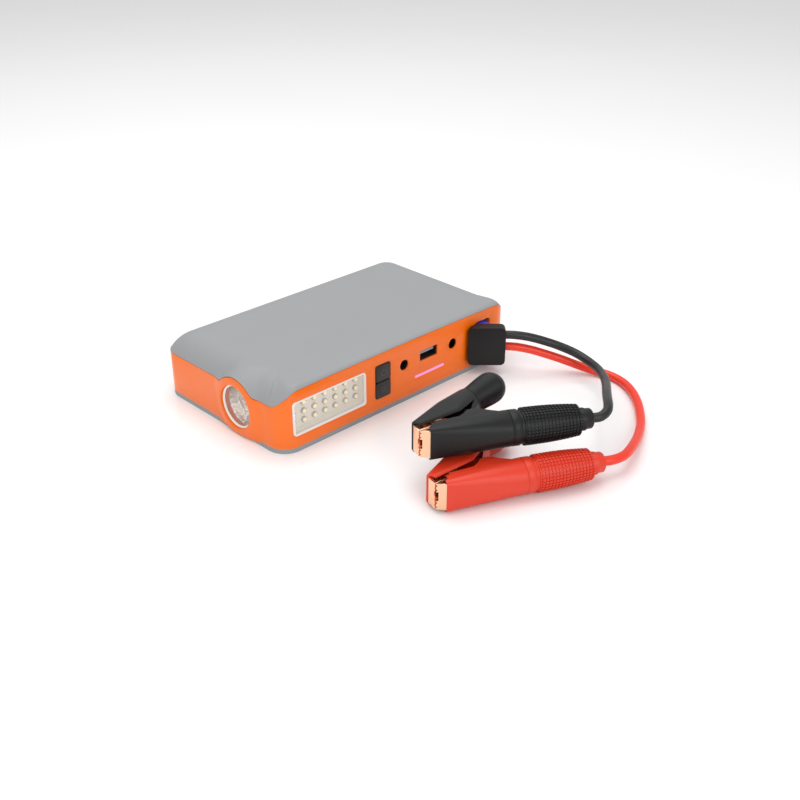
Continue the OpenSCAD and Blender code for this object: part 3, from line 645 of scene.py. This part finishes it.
def plan_rect(width, height, radius, arc=6):
    """A rounded rectangle around the origin as (across, up) points."""
    points = []
    for n, (sx, sz) in enumerate(((1, 1), (-1, 1), (-1, -1), (1, -1))):
        for k in range(arc + 1):
            a = (n + k / arc) * math.pi / 2
            points.append((sx * (width / 2 - radius) + radius * math.cos(a),
                           sz * (height / 2 - radius) + radius * math.sin(a)))
    return points


def port_loft(name, centre, sections, closed=False):
    """Lofts (width, height, radius, y) sections that face the port side."""
    rings = [[(centre[0] + a, y, centre[1] + b) for a, b in plan_rect(w, h, r)]
             for w, h, r, y in sections]
    points, faces = ring_loft(rings) if closed else loft(rings)
    return solid_mesh(name, points, faces)


def arc_strip(centre, y, radius, width, start, stop, steps=22):
    """A flat arc that stands on a key's face."""
    rings = []
    for k in range(steps + 1):
        a = math.radians(lerp(start, stop, k / steps))
        ring = []
        for r, depth in ((radius, 0.0), (radius + width, 0.0), (radius + width, 0.15),
                         (radius, 0.15)):
            ring.append((centre[0] + r * math.cos(a), y + depth - 0.08,
                         centre[1] + r * math.sin(a)))
        rings.append(ring)
    return loft(rings)


def bar(centre, y, width, height, turn=0.0):
    """A flat bar that stands on a key's face."""
    c, sn = math.cos(math.radians(turn)), math.sin(math.radians(turn))
    rings = []
    for side in (-1, 1):
        a0 = side * width / 2
        ring = []
        for b0, depth in ((-height / 2, 0.0), (height / 2, 0.0), (height / 2, 0.15),
                          (-height / 2, 0.15)):
            ring.append((centre[0] + a0 * c - b0 * sn, y + depth - 0.08,
                         centre[1] + a0 * sn + b0 * c))
        rings.append(ring)
    return loft(rings)


def joined(name, parts):
    """One mesh from several lists of points and faces."""
    points, faces = [], []
    for new_points, new_faces in parts:
        faces += [tuple(i + len(points) for i in face) for face in new_faces]
        points += new_points
    return solid_mesh(name, points, faces)


# ------------------------------------------------------------------ node trees

class TreeWire:
    """One value in a geometry tree."""

    def __init__(self, tree, socket):
        self.tree = tree
        self.socket = socket

    def __add__(self, other):
        return self.tree.math("ADD", self, other)

    def __sub__(self, other):
        return self.tree.math("SUBTRACT", self, other)

    def __mul__(self, other):
        return self.tree.math("MULTIPLY", self, other)

    def __truediv__(self, other):
        return self.tree.math("DIVIDE", self, other)

    def __rsub__(self, other):
        return self.tree.math("SUBTRACT", other, self)

    def __rtruediv__(self, other):
        return self.tree.math("DIVIDE", other, self)

    __radd__ = __add__
    __rmul__ = __mul__


class Tree:
    """A geometry tree with named inputs, run once on an empty holder."""

    def __init__(self, name, inputs):
        self.group = bpy.data.node_groups.new(name, "GeometryNodeTree")
        self.ids = {}
        self.group.interface.new_socket("Geometry", in_out="INPUT",
                                        socket_type="NodeSocketGeometry")
        for key, value in inputs.items():
            kind = "NodeSocketInt" if isinstance(value, int) else "NodeSocketFloat"
            made = self.group.interface.new_socket(key, in_out="INPUT", socket_type=kind)
            made.default_value = value
            self.ids[key] = made.identifier
        self.group.interface.new_socket("Geometry", in_out="OUTPUT",
                                        socket_type="NodeSocketGeometry")
        self.entry = self.group.nodes.new("NodeGroupInput")
        self.inputs = inputs

    def of(self, key):
        return TreeWire(self, self.entry.outputs[key])

    def node(self, kind, settings=None, values=None, out=0):
        made = self.group.nodes.new(kind)
        for key, value in (settings or {}).items():
            setattr(made, key, value)
        for key, value in (values or {}).items():
            if isinstance(value, TreeWire):
                self.group.links.new(value.socket, made.inputs[key])
            else:
                made.inputs[key].default_value = value
        return TreeWire(self, made.outputs[out])

    def math(self, operation, a, b=0.0):
        return self.node("ShaderNodeMath", {"operation": operation}, {0: a, 1: b})

    def vector(self, x=0.0, y=0.0, z=0.0):
        return self.node("ShaderNodeCombineXYZ", None, {0: x, 1: y, 2: z})

    def run(self, geometry, finish, name, matrix=None):
        """Realizes the result and returns it as a plain mesh."""
        real = self.node("GeometryNodeRealizeInstances", None, {0: geometry})
        painted = self.node("GeometryNodeSetMaterial", None,
                            {"Geometry": real, "Material": FINISHES[finish].material})
        end = self.group.nodes.new("NodeGroupOutput")
        self.group.links.new(painted.socket, end.inputs[0])
        holder = bpy.data.objects.new(name + "_holder", bpy.data.meshes.new(name + "_holder"))
        bpy.context.scene.collection.objects.link(holder)
        modifier = holder.modifiers.new("tree", "NODES")
        modifier.node_group = self.group
        for key, value in self.inputs.items():
            modifier[self.ids[key]] = value
        mesh = evaluated_mesh(holder, name)
        holder.modifiers.remove(modifier)
        bpy.data.objects.remove(holder)
        if matrix is not None:
            mesh.transform(matrix)
        return mesh


# ------------------------------------------------------------------ settings

class PackLook(bpy.types.PropertyGroup):
    cover_colour: bpy.props.FloatVectorProperty(
        name="Cover colour", description="Colour of the soft-touch cover", subtype="COLOR",
        size=3, min=0.0, max=1.0, default=(0.305, 0.312, 0.318))
    band_colour: bpy.props.FloatVectorProperty(
        name="Band colour", description="Colour of the glossy band", subtype="COLOR",
        size=3, min=0.0, max=1.0, default=(0.94, 0.165, 0.002))
    led_columns: bpy.props.IntProperty(
        name="LED columns", description="Columns of LEDs behind the window", default=7,
        min=1, max=12)
    led_rows: bpy.props.IntProperty(
        name="LED rows", description="Rows of LEDs behind the window", default=3, min=1, max=6)
    facets: bpy.props.IntProperty(
        name="Reflector facets", description="Facets around the torch's reflector",
        default=28, min=8, max=64)


class LeadLook(bpy.types.PropertyGroup):
    red_cable_colour: bpy.props.FloatVectorProperty(
        name="Red cable", description="Colour of the red cable", subtype="COLOR",
        size=3, min=0.0, max=1.0, default=(0.85, 0.036, 0.009))
    red_clamp_colour: bpy.props.FloatVectorProperty(
        name="Red clamp", description="Colour of the red clamp", subtype="COLOR",
        size=3, min=0.0, max=1.0, default=(0.72, 0.038, 0.01))
    black_clamp_colour: bpy.props.FloatVectorProperty(
        name="Black clamp", description="Colour of the black clamp", subtype="COLOR",
        size=3, min=0.0, max=1.0, default=(0.0085, 0.009, 0.0095))
    jaw_colour: bpy.props.FloatVectorProperty(
        name="Jaws", description="Colour of the plated jaws", subtype="COLOR",
        size=3, min=0.0, max=1.0, default=(0.93, 0.55, 0.36))
    rib_rings: bpy.props.IntProperty(
        name="Rib rings", description="Rings of studs along a sleeve", default=16, min=4, max=30)
    rib_columns: bpy.props.IntProperty(
        name="Rib columns", description="Studs around a sleeve", default=34, min=8, max=60)
    cable_diameter: bpy.props.FloatProperty(
        name="Cable diameter", description="Outside diameter of a cable", default=0.0048,
        min=0.003, max=0.006, unit="LENGTH")


# ------------------------------------------------------------------ operators

CAMERA_AT = (-0.3613, -0.4160, 0.2833)
CAMERA_AZIMUTH = -44.43
CAMERA_ELEVATION = 28.82
LENS = 48.32
SENSOR = 36.0
FLOOR_HALF = 6.0
WORLD_STRENGTH = 0.64
LAMPS = (
    ("overhead", (0.1, 0.25, 1.1), (0.0, -0.04, 0.0), 1.3, 8.0),
    ("port side", (-0.25, -1.1, 0.55), (0.0, -0.05, 0.02), 0.8, 4.2),
    ("end", (-1.1, 0.1, 0.5), (-0.05, 0.0, 0.02), 0.7, 1.5),
)


class PACK_OT_stage(bpy.types.Operator):
    """Builds the camera, the floor, the light and the finishes"""
    bl_idname = "jump_pack.stage"
    bl_label = "Stage"

    def execute(self, context):
        scene = context.scene
        scene.view_settings.view_transform = "Standard"
        make_finishes()
        data = bpy.data.cameras.new("camera")
        data.lens = LENS
        data.sensor_width = SENSOR
        data.clip_start = 0.01
        camera = bpy.data.objects.new("camera", data)
        camera.location = CAMERA_AT
        camera.rotation_euler = (math.radians(90.0 - CAMERA_ELEVATION), 0.0,
                                 math.radians(CAMERA_AZIMUTH))
        scene.collection.objects.link(camera)
        scene.camera = camera

        floor = Finish("floor")
        haze = floor.noise(6.0, 2.0)
        floor.set(Base_Color=floor.mix(haze, (0.955, 0.955, 0.955, 1), (0.97, 0.97, 0.97, 1)),
                  Roughness=0.14 + haze * 0.05, Specular_IOR_Level=0.4)
        FINISHES["floor"] = floor
        mesh = bpy.data.meshes.new("floor")
        s = FLOOR_HALF
        mesh.from_pydata([(-s, -s, 0), (s, -s, 0), (s, s, 0), (-s, s, 0)], [], [(0, 1, 2, 3)])
        mesh.materials.append(floor.material)
        ground = bpy.data.objects.new("floor", mesh)
        scene.collection.objects.link(ground)

        world = bpy.data.worlds.new("studio")
        scene.world = world
        world.use_nodes = True
        world.node_tree.nodes["Background"].inputs[0].default_value = (1.0, 1.0, 1.0, 1.0)
        world.node_tree.nodes["Background"].inputs[1].default_value = WORLD_STRENGTH
        for name, at, aim, size, watts in LAMPS:
            lamp = bpy.data.lights.new(name, "AREA")
            lamp.shape = "DISK"
            lamp.size = size
            lamp.energy = watts
            light = bpy.data.objects.new(name, lamp)
            light.location = at
            way = Vector(aim) - Vector(at)
            light.rotation_euler = way.to_track_quat("-Z", "Y").to_euler()
            scene.collection.objects.link(light)
        return {"FINISHED"}


class PACK_OT_cables(bpy.types.Operator):
    """Builds the two cables as smooth curves"""
    bl_idname = "jump_pack.cables"
    bl_label = "Cables"

    def execute(self, context):
        radius = context.scene.lead_look.cable_diameter / 2
        for side, route in (("black", BLACK_ROUTE), ("red", RED_ROUTE)):
            curve = bpy.data.curves.new(side + "_lead", "CURVE")
            curve.dimensions = "3D"
            curve.bevel_depth = radius
            curve.bevel_resolution = 8
            curve.resolution_u = 10
            curve.use_fill_caps = True
            spline = curve.splines.new("BEZIER")
            spline.bezier_points.add(len(route) - 1)
            points = [Vector(p) for p in route]
            for i, (node, p) in enumerate(zip(spline.bezier_points, points)):
                before = points[max(i - 1, 0)]
                after = points[min(i + 1, len(points) - 1)]
                way = (after - before).normalized()
                node.co = p
                node.handle_left_type = node.handle_right_type = "FREE"
                node.handle_left = p - way * (p - before).length / 3
                node.handle_right = p + way * (after - p).length / 3
            curve.materials.append(FINISHES["cable_" + side].material)
            piece = bpy.data.objects.new(side + "_lead", curve)
            context.scene.collection.objects.link(piece)
            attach(piece, "lead_set")
            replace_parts(piece, side + "_cable")
        return {"FINISHED"}


class PACK_OT_cover(bpy.types.Operator):
    """Builds the soft-touch cover with its rolled edges and the swell over the torch"""
    bl_idname = "jump_pack.cover"
    bl_label = "Cover"

    def execute(self, context):
        skin = new_piece("cover_skin", cover_mesh(), "cover_grey", "pack", angle=0.7)
        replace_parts(skin, "top_cover")
        return {"FINISHED"}


class PACK_OT_band(bpy.types.Operator):
    """Rounds the edges of the band, the bottom cover, the keys and the plug"""
    bl_idname = "jump_pack.band"
    bl_label = "Band and keys"

    def execute(self, context):
        softened("side_frame", "band_orange", "pack", 0.25)
        softened("bottom_cover", "cover_grey", "pack", 0.9, 3)
        softened("power_button", "key_black", "power_key", 0.5, 3)
        softened("light_button", "key_black", "light_key", 0.5, 3)
        softened("usb_port", "port_dark", "pack", 0.08)
        softened("dc_out_jack", "black_plastic", "pack", 0.2)
        softened("dc_in_jack", "black_plastic", "pack", 0.2)
        softened("plug_housing", "black_plastic", "lead_set", 0.9, 4)
        softened("plug_cover", "black_plastic", "lead_set", 0.8, 4)
        softened("plug_connector", "connector_blue", "lead_set", 0.3)
        softened("output_socket", "connector_blue", "pack", 0.25)
        face = -HALF_W - 0.62
        x = KEY_AT[0]
        upper, lower = KEY_AT[1] + KEY_RISE, KEY_AT[1] - KEY_RISE
        power = joined("power_mark", [arc_strip((x, upper), face, 1.5, 0.38, 122, 418),
                                      bar((x, upper + 1.45), face, 0.38, 1.7)])
        new_piece("power_mark", power, "key_mark", "power_key")
        rays = [bar((x + RAY_REACH * math.cos(a), lower + RAY_REACH * math.sin(a)), face,
                    0.8, 0.3, math.degrees(a)) for a in (k * math.pi / 4 for k in range(8))]
        light = joined("light_mark", [arc_strip((x, lower), face, 1.0, 0.36, 0, 359)] + rays)
        new_piece("light_mark", light, "key_mark", "light_key")
        return {"FINISHED"}


class PACK_OT_torch(bpy.types.Operator):
    """Builds the swell around the torch, its reflector cup, rim and lens"""
    bl_idname = "jump_pack.torch"
    bl_label = "Torch"

    def execute(self, context):
        facets = context.scene.pack_look.facets
        new_piece("torch_swell", mound_mesh(), "band_orange", "pack", angle=0.7)
        cup = new_piece("reflector_cup", cup_mesh(facets), "reflector", "pack", angle=0.02)
        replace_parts(cup, "torch_reflector")
        profile = [(-82.4, 0.0), (-82.4, 11.9), (-84.2, 11.9), (-84.6, 11.5), (-84.8, 10.6),
                   (-84.95, 8.0), (-85.05, 4.0), (-85.1, 0.0)]
        points, faces = loft(about_torch(turned(profile, 96)), caps=False)
        lens = new_piece("torch_pane", solid_mesh("torch_pane", points, faces),
                         "clear_window", "pack", angle=0.6)
        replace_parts(lens, "torch_lens")
        profile = [(-84.9, 11.95), (-85.7, 11.95), (-85.95, 11.7), (-85.9, 11.3),
                   (-85.3, 10.8), (-84.9, 10.9)]
        points, faces = ring_loft(about_torch(turned(profile, 96)))
        new_piece("torch_rim", solid_mesh("torch_rim", points, faces), "rim_pale", "pack",
                  angle=0.9)
        return {"FINISHED"}


class PACK_OT_work_light(bpy.types.Operator):
    """Builds the window, its rim and the grid of LEDs behind it"""
    bl_idname = "jump_pack.work_light"
    bl_label = "Work light"

    def execute(self, context):
        look = context.scene.pack_look
        w, h = LIGHT_SIZE
        face = -HALF_W - 0.3
        rim = port_loft("window_rim", LIGHT_AT, [
            (w - 0.2, h - 0.2, 1.9, RIM_BACK), (w - 0.2, h - 0.2, 1.9, face + 0.2),
            (w - 0.6, h - 0.6, 1.7, face - 0.15), (w - 1.6, h - 1.6, 1.4, face - 0.2),
            (w - 2.4, h - 2.4, 1.2, face + 0.25), (w - 2.6, h - 2.6, 1.2, RIM_BACK)], True)
        new_piece("window_rim", rim, "rim_pale", "pack", angle=0.8)
        pane = port_loft("window_pane", LIGHT_AT, [
            (w - 2.7, h - 2.7, 1.2, PANE_BACK), (w - 2.7, h - 2.7, 1.2, face + 0.45),
            (w - 3.1, h - 3.1, 1.0, face + 0.25)])
        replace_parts(new_piece("window_pane", pane, "clear_window", "pack", angle=0.5),
                    "work_light_lens")
        tub = port_loft("light_tub", LIGHT_AT, [
            (w - 1.2, h - 1.2, 1.4, TUB_FRONT), (w - 2.4, h - 2.4, 1.2, TUB_FRONT),
            (w - 3.0, h - 3.0, 1.0, TUB_BACK), (w - 1.6, h - 1.6, 1.2, TUB_BACK)], True)
        # the tub's board glows as painted light, so that it looks brighter
        new_piece("light_tub", tub, "board_pale", "pack", angle=0.6)
        # the domes take the LED finish, whose faint glow is painted light
        for name, finish, size, lift in (("led_bodies", "led_body", 1.6, 1.1),
                                         ("led_domes", "led", 1.15, 1.7)):
            grid = Tree(name, {"Columns": look.led_columns, "Rows": look.led_rows,
                               "Width": (w - LED_MARGIN[0]) * MM,
                               "Height": (h - LED_MARGIN[1]) * MM,
                               "Radius": size * MM, "Depth": lift * MM})
            index = grid.node("GeometryNodeInputIndex")
            row = grid.math("FLOOR", index / grid.of("Columns"))
            column = grid.math("MODULO", index, grid.of("Columns"))
            across = (column / (grid.of("Columns") - 1) - 0.5) * grid.of("Width")
            up = (row / (grid.of("Rows") - 1) - 0.5) * grid.of("Height")
            spot = grid.vector(across + LIGHT_AT[0] * MM, LED_Y * MM,
                               up + LIGHT_AT[1] * MM)
            cloud = grid.node("GeometryNodePoints", None,
                              {0: grid.of("Rows") * grid.of("Columns"), "Position": spot})
            dome = grid.node("GeometryNodeMeshCylinder", None,
                             {"Vertices": 20, "Radius": grid.of("Radius"),
                              "Depth": grid.of("Depth")})
            placed = grid.node("GeometryNodeInstanceOnPoints", None,
                               {"Points": cloud, "Instance": dome,
                                "Rotation": grid.vector(math.pi / 2, 0.0, 0.0)})
            mesh = grid.run(placed, finish, name)
            piece = new_piece(name, mesh, finish, "pack", angle=0.5)
            if name == "led_bodies":
                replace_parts(piece, "work_light_leds")
        return {"FINISHED"}


class PACK_OT_clamps(bpy.types.Operator):
    """Builds the clamps' sleeves, studs, shells, handles and jaws"""
    bl_idname = "jump_pack.clamps"
    bl_label = "Clamps"

    def execute(self, context):
        look = context.scene.lead_look
        for side in CLAMPS:
            finish = "clamp_" + side
            self.sleeve(side, finish, look)
            self.handle(side, finish)
            softened(side + "_cable_shell", finish, "lead_set", 0.8, 3, 0.7)
            softened(side + "_lever_shell", finish, side + "_lever", 0.8, 3, 0.7)
            softened(side + "_cable_jaw", "jaw_copper", "lead_set", 0.25)
            softened(side + "_lever_jaw", "jaw_copper", side + "_lever", 0.25)
        return {"FINISHED"}

    def sleeve(self, side, finish, look):
        """A turned sleeve with rings of studs on its barrel."""
        step = CLAMP_TAIL - COLLAR_L
        start, stop = BARREL_START, step - 1.4
        r = ARM_R
        profile = [(SHELL_END + 0.1, 0.0), (SHELL_END + 0.1, r - 0.7),
                   (SHELL_END + 0.35, r - 0.3), (SHELL_END + 0.8, r), (47.4, r),
                   (47.7, r - 0.2), (47.9, r - 0.7), (49.2, r - 0.75), (49.4, r - 0.3)]
        for k in range(13):
            t = k / 12
            profile.append((lerp(start, stop, t), self.barrel(t) - 0.5))
        profile += [(step - 0.4, r - 2.8), (step, r - 3.2), (step + 0.3, 5.7),
                    (step + 2.6, 5.6), (step + 3.0, 5.2), (step + 3.4, 5.1),
                    (CLAMP_TAIL - 0.7, 5.0), (CLAMP_TAIL - 0.1, 4.5), (CLAMP_TAIL, 4.0),
                    (CLAMP_TAIL, 2.45), (step - 4, 2.45), (step - 4, 0.0)]
        points, faces = loft(turned(profile, 72), caps=False)
        mesh = solid_mesh(side + "_sleeve", points, faces)
        mesh.transform(clamp_matrix(side, "sleeve"))
        sleeve = new_piece(side + "_sleeve", mesh, finish, "lead_set", angle=0.7)
        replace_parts(sleeve, side + "_cable_grip")
        studs = Tree(side + " studs", {"Rings": look.rib_rings, "Columns": look.rib_columns,
                                       "Start": start * MM, "End": stop * MM,
                                       "Radius": self.barrel(0.0) * MM,
                                       "Taper": BARREL_TAPER * MM})
        columns = studs.of("Columns")
        index = studs.node("GeometryNodeInputIndex")
        ring = studs.math("FLOOR", index / columns)
        column = studs.math("MODULO", index, columns)
        share = ring / (studs.of("Rings") - 1)
        along = studs.of("Start") + (studs.of("End") - studs.of("Start")) * share
        radius = studs.of("Radius") - studs.of("Taper") * studs.math("POWER", share, BARREL_POWER) \
            - 0.4 * MM
        angle = column / columns * (2 * math.pi)
        spot = studs.vector(along, radius * studs.math("COSINE", angle),
                            radius * studs.math("SINE", angle))
        cloud = studs.node("GeometryNodePoints", None,
                           {0: studs.of("Rings") * columns, "Position": spot})
        pitch = (studs.of("End") - studs.of("Start")) / studs.of("Rings")
        stud = studs.node("GeometryNodeMeshCube", None, {
            "Size": studs.vector(pitch * 0.66, 0.85 * MM, radius_pitch(columns))})
        turn = studs.vector(angle, 0.0, 0.0)
        placed = studs.node("GeometryNodeInstanceOnPoints", None,
                            {"Points": cloud, "Instance": stud, "Rotation": turn})
        mesh = studs.run(placed, finish, side + "_studs", clamp_matrix(side, "sleeve"))
        new_piece(side + "_studs", mesh, finish, "lead_set", angle=0.5)

    def barrel(self, t):
        """Radius of the studded barrel at share t of its length."""
        return ARM_R + BARREL_RISE - BARREL_TAPER * t ** BARREL_POWER

    def handle(self, side, finish):
        """The lever's bulb: a turned body with fine rings pressed into it."""
        r = BULB_R
        profile = [(RING_S, 0.0), (RING_S, r - 1.1), (RING_S + 0.25, r - 0.75),
                   (RING_S + 1.2, r - 0.75), (RING_S + 1.5, r - 1.0), (RING_S + 1.9, r - 1.5)]
        centre = LEVER_L - r
        for k in range(52):
            u = lerp(RING_S + 2.4, centre, k / 51)
            t = smooth((u - RING_S - 2.0) / (centre - RING_S - 2.0))
            profile.append((u, lerp(r - 1.2, r, t) - (0.16 if k % 2 else 0.0)))
        for k in range(1, 15):
            a = k / 15 * math.pi / 2
            profile.append((centre + r * math.sin(a), r * math.cos(a)))
        profile.append((LEVER_L, 0.0))
        points, faces = loft(turned(profile, 64), caps=False)
        mesh = solid_mesh(side + "_bulb", points, faces)
        mesh.transform(clamp_matrix(side, "lever"))
        bulb = new_piece(side + "_bulb", mesh, finish, side + "_lever", angle=0.5)
        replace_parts(bulb, side + "_lever_grip")


def radius_pitch(columns):
    """Width of a stud around the barrel."""
    return ((ARM_R - 0.2) * MM * 2 * math.pi * 0.62) / columns


class PACK_OT_finishes(bpy.types.Operator):
    """Gives every remaining CAD piece its finish"""
    bl_idname = "jump_pack.finishes"
    bl_label = "Finishes"

    def execute(self, context):
        for entry in frame["record"]["subparts"]:
            data = frame["nodes"][entry["node"]].data
            data.materials.clear()
            data.materials.append(FINISHES[entry["material_slot"]].material)
            data.polygons.foreach_set("material_index", [0] * len(data.polygons))
        return {"FINISHED"}


OPERATORS = (PACK_OT_stage, PACK_OT_cables, PACK_OT_finishes, PACK_OT_cover, PACK_OT_band,
             PACK_OT_torch, PACK_OT_work_light, PACK_OT_clamps)


class PACK_PT_panel(bpy.types.Panel):
    """Lists the settings and the steps"""
    bl_idname = "PACK_PT_panel"
    bl_label = "Jump Starter Pack"
    bl_space_type = "VIEW_3D"
    bl_region_type = "UI"
    bl_category = "Jump Starter"

    def draw(self, context):
        for group in (context.scene.pack_look, context.scene.lead_look):
            box = self.layout.box()
            for key in group.__annotations__:
                box.prop(group, key)
        for operator in OPERATORS:
            self.layout.operator(operator.bl_idname)


CLASSES = (PackLook, LeadLook, *OPERATORS, PACK_PT_panel)


def register():
    for item in CLASSES:
        bpy.utils.register_class(item)
    bpy.types.Scene.pack_look = bpy.props.PointerProperty(type=PackLook)
    bpy.types.Scene.lead_look = bpy.props.PointerProperty(type=LeadLook)


def unregister():
    del bpy.types.Scene.lead_look
    del bpy.types.Scene.pack_look
    for item in reversed(CLASSES):
        bpy.utils.unregister_class(item)


def main():
    register()
    for operator in OPERATORS:
        group, call = operator.bl_idname.split(".")
        getattr(getattr(bpy.ops, group), call)()


if __name__ == "__main__":
    main()
